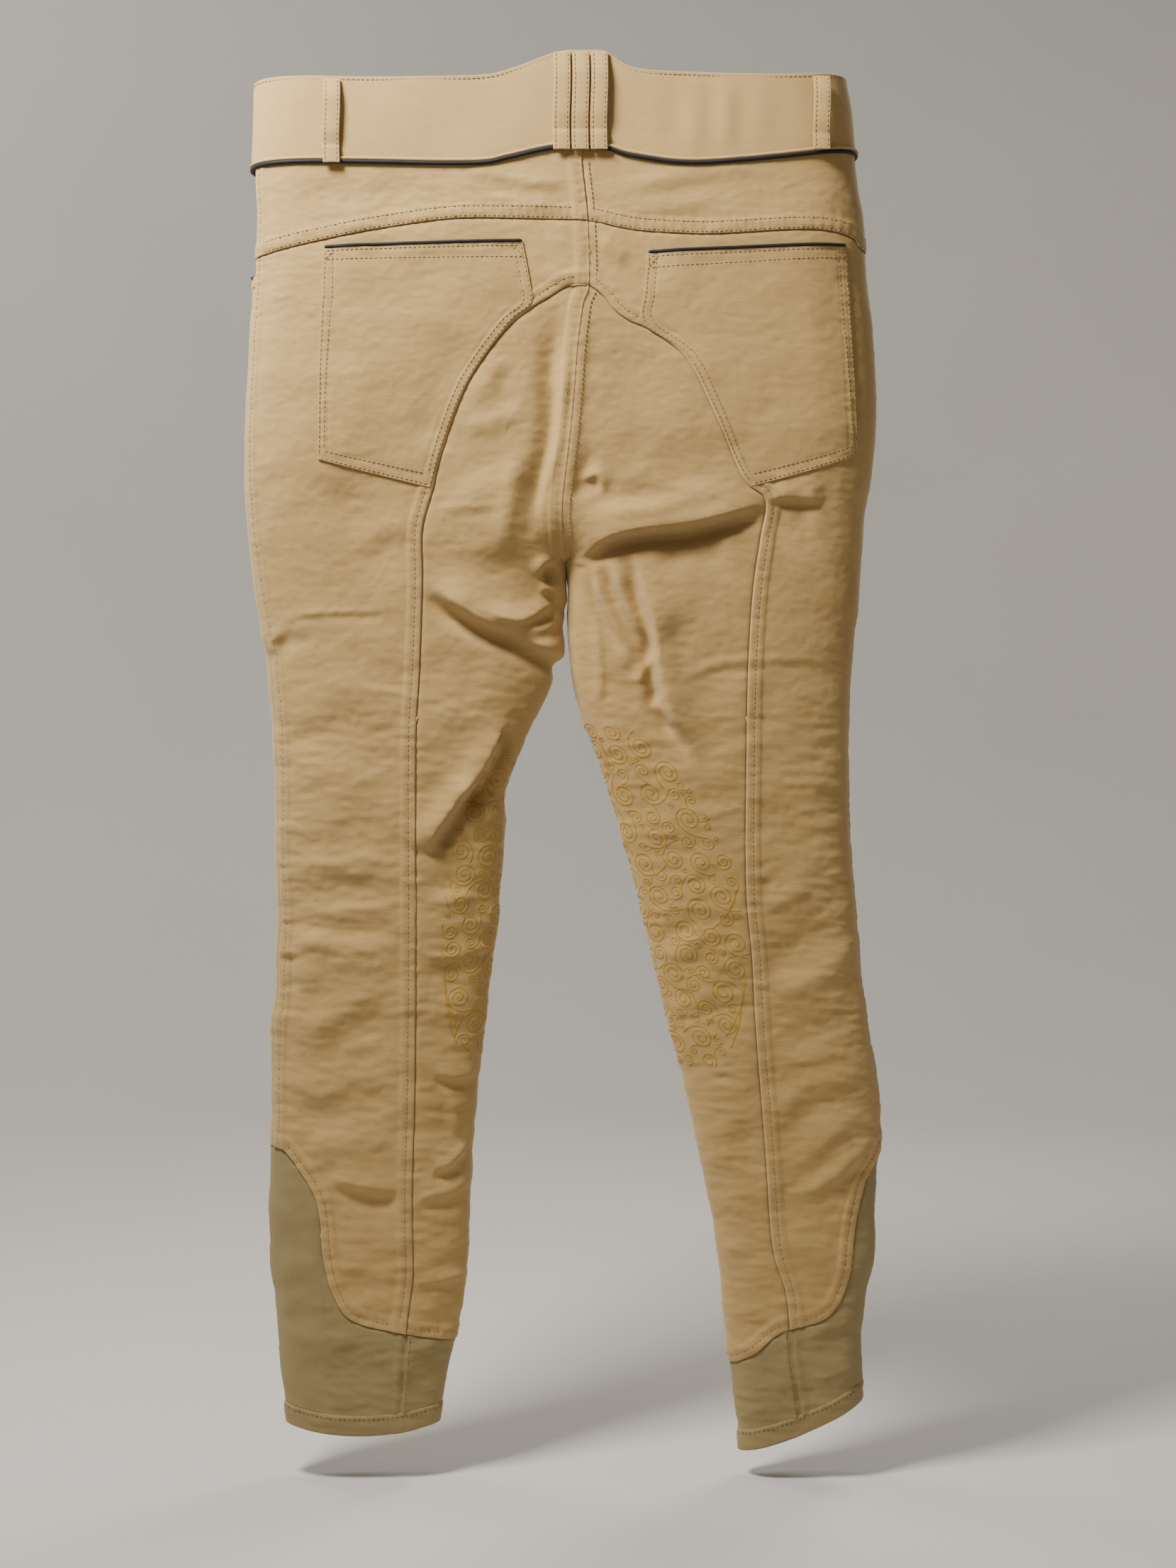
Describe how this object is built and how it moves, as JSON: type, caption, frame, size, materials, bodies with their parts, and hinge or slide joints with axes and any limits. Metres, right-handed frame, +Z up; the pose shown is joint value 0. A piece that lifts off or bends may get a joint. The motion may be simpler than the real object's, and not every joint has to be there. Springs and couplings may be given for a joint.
{
  "type": "riding breeches",
  "caption": "Full-length riding breeches with a deep waistband, belt loops, back patch pockets, a curved seat panel, front zip, silicone knee grips and knitted ankle cuffs.",
  "frame": {"origin": "inside the waistband, midway between its folds, level with the grip of a trouser hanger's two clips", "axes": "+Z up, the wearer faces +Y, and the wearer's left leg is at -X; the back, with its pockets, faces -Y"},
  "size_m": [0.4544, 0.0787, 0.9931],
  "materials": {
    "twill": "matte brushed stretch twill, tan",
    "knit": "fine stretch jersey, olive khaki",
    "piping": "black corded satin piping",
    "silicone": "printed ochre silicone, satin",
    "zip_tape": "woven tape",
    "metal": "nickel-plated brass"
  },
  "bodies": {
    "seat_and_waist": {"back_pocket_left": "twill", "back_pocket_piping_left": "piping", "back_pocket_piping_right": "piping", "back_pocket_right": "twill", "back_yoke_left": "twill", "back_yoke_right": "twill", "belt_loop_back_left": "twill", "belt_loop_back_right": "twill", "belt_loop_centre_left": "twill", "belt_loop_centre_middle": "twill", "belt_loop_centre_right": "twill", "belt_loop_front_left": "twill", "belt_loop_front_right": "twill", "fly_shield": "twill", "front_pocket_bag_left": "twill", "front_pocket_bag_right": "twill", "front_pocket_piping_left": "piping", "front_pocket_piping_right": "piping", "hip_back_left": "twill", "hip_back_right": "twill", "hip_front_left": "twill", "hip_front_right": "twill", "seat_panel_left": "twill", "seat_panel_right": "twill", "waist_bar_lower": "metal", "waist_bar_upper": "metal", "waistband_back": "twill", "waistband_front_left": "twill", "waistband_front_right": "twill", "waistband_piping": "piping", "zip_bottom_stop": "metal", "zip_tape_left": "zip_tape", "zip_tape_right": "zip_tape", "zip_teeth": "metal"},
    "waist_tab": {"waist_hook_lower": "metal", "waist_hook_upper": "metal", "waistband_tab": "twill"},
    "zip_slider": {"zip_slider": "metal"},
    "zip_pull": {"zip_pull": "metal"},
    "thigh_left": {"knee_grip_upper_left": "silicone", "thigh_front_left": "twill", "thigh_inner_left": "twill", "thigh_outer_back_left": "twill"},
    "thigh_right": {"knee_grip_upper_right": "silicone", "thigh_front_right": "twill", "thigh_inner_right": "twill", "thigh_outer_back_right": "twill"},
    "calf_left": {"calf_front_left": "twill", "calf_inner_left": "twill", "calf_outer_back_left": "twill", "hem_left": "knit", "knee_grip_lower_left": "silicone", "sock_left": "knit"},
    "calf_right": {"calf_front_right": "twill", "calf_inner_right": "twill", "calf_outer_back_right": "twill", "hem_right": "knit", "knee_grip_lower_right": "silicone", "sock_right": "knit"}
  },
  "joints": [
    {"name": "hip_left", "type": "hinge", "parent": "seat_and_waist", "child": "thigh_left", "pos_m": [-0.1054, 0.0262, -0.33], "axis": [1, 0, 0], "range_deg": [0, 120]},
    {"name": "hip_right", "type": "hinge", "parent": "seat_and_waist", "child": "thigh_right", "pos_m": [0.11515, 0.0262, -0.33], "axis": [1, 0, 0], "range_deg": [0, 120]},
    {"name": "knee_left", "type": "hinge", "parent": "thigh_left", "child": "calf_left", "pos_m": [-0.11887, -0.02409, -0.562], "axis": [-1, 0, 0], "range_deg": [0, 150]},
    {"name": "knee_right", "type": "hinge", "parent": "thigh_right", "child": "calf_right", "pos_m": [0.1365, -0.02409, -0.562], "axis": [-1, 0, 0], "range_deg": [0, 150]},
    {"name": "waist_tab_swing", "type": "hinge", "parent": "seat_and_waist", "child": "waist_tab", "pos_m": [-0.03, 0.035, 0], "axis": [0, 0, 1], "range_deg": [0, 110]},
    {"name": "zip_slide", "type": "slide", "parent": "seat_and_waist", "child": "zip_slider", "axis": [0, 0, -1], "range_m": [0, 0.115]},
    {"name": "zip_pull_swing", "type": "hinge", "parent": "zip_slider", "child": "zip_pull", "pos_m": [0.006, 0.0338, -0.057], "axis": [1, 0, 0], "range_deg": [0, 120]}
  ]
}
